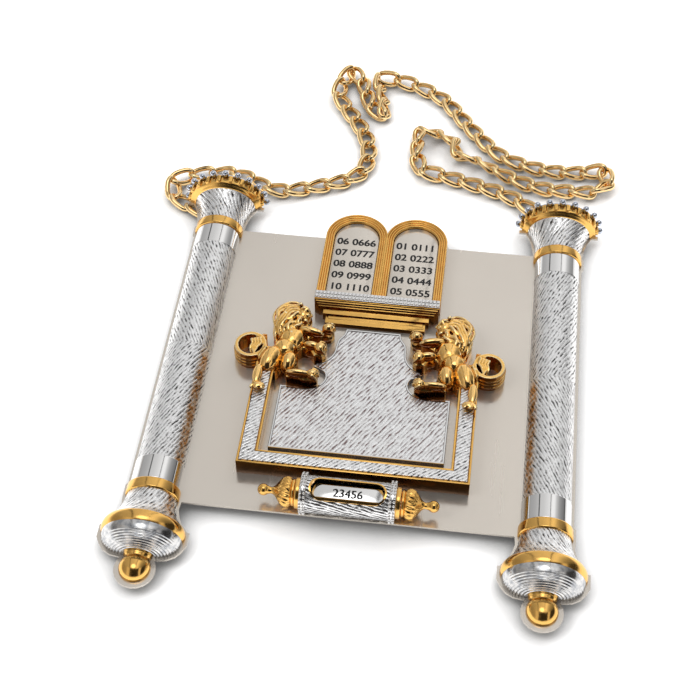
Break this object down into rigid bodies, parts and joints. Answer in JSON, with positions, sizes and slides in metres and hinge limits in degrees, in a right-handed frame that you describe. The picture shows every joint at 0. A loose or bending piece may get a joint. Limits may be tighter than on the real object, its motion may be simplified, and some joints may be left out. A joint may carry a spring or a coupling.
{
  "type": "torah shield breastplate",
  "caption": "Silver torah shield breastplate with half-round scroll staves, gilt lions, tablets on a cornice, a raised frame, a turning name bar and a loose chain.",
  "frame": {"origin": "on the surface that the shield lies on, under the middle of its outline, the chain not counted", "axes": "+X to the shield's right as seen from the front, +Y to its crowned top, +Z out of its face"},
  "size_m": [0.2595, 0.3867, 0.0285],
  "materials": {
    "polished_silver": "polished silver",
    "chased_silver": "silver with long chased strokes",
    "gilt": "bright gold plate",
    "pale_gilt": "pale gold plate"
  },
  "bodies": {
    "shield": {"back_plate": "polished_silver", "stave_shaft_left": "chased_silver", "stave_shaft_right": "chased_silver", "upper_collar_left": "gilt", "upper_collar_right": "gilt", "lower_collar_left": "gilt", "lower_collar_right": "gilt", "crown_flare_left": "chased_silver", "crown_flare_right": "chased_silver", "crown_rim_left": "gilt", "crown_rim_right": "gilt", "crown_beads_left": "polished_silver", "crown_beads_right": "polished_silver", "bell_left": "chased_silver", "bell_right": "chased_silver", "bell_band_left": "gilt", "bell_band_right": "gilt", "dish_left": "chased_silver", "dish_right": "chased_silver", "finial_left": "gilt", "finial_right": "gilt", "tablets_frame": "gilt", "tablet_panel_left": "polished_silver", "tablet_panel_right": "polished_silver", "cornice": "gilt", "cornice_beading": "polished_silver", "frame_tray": "gilt", "frame_border": "chased_silver", "centre_panel": "chased_silver", "lion_left": "gilt", "lion_right": "gilt", "holder_barrel": "chased_silver", "window_bezel": "gilt", "holder_ring_left": "polished_silver", "holder_ring_right": "polished_silver", "holder_cap_left": "gilt", "holder_cap_right": "gilt", "back_stud_stave_top_left": "polished_silver", "back_stud_stave_top_right": "polished_silver", "back_stud_stave_foot_left": "polished_silver", "back_stud_stave_foot_right": "polished_silver", "back_stud_frame_left": "polished_silver", "back_stud_frame_right": "polished_silver", "back_stud_tablet_left": "polished_silver", "back_stud_tablet_right": "polished_silver", "chain_eye_left": "polished_silver", "chain_eye_right": "polished_silver", "chain": "pale_gilt"},
    "name_bar": {"name_drum": "polished_silver", "drum_axle": "polished_silver", "knob_left": "gilt", "knob_right": "gilt"}
  },
  "joints": [
    {"name": "name_bar_turn", "type": "hinge", "parent": "shield", "child": "name_bar", "pos_m": [0, -0.07415, 0.0154], "axis": [1, 0, 0], "continuous": true}
  ]
}
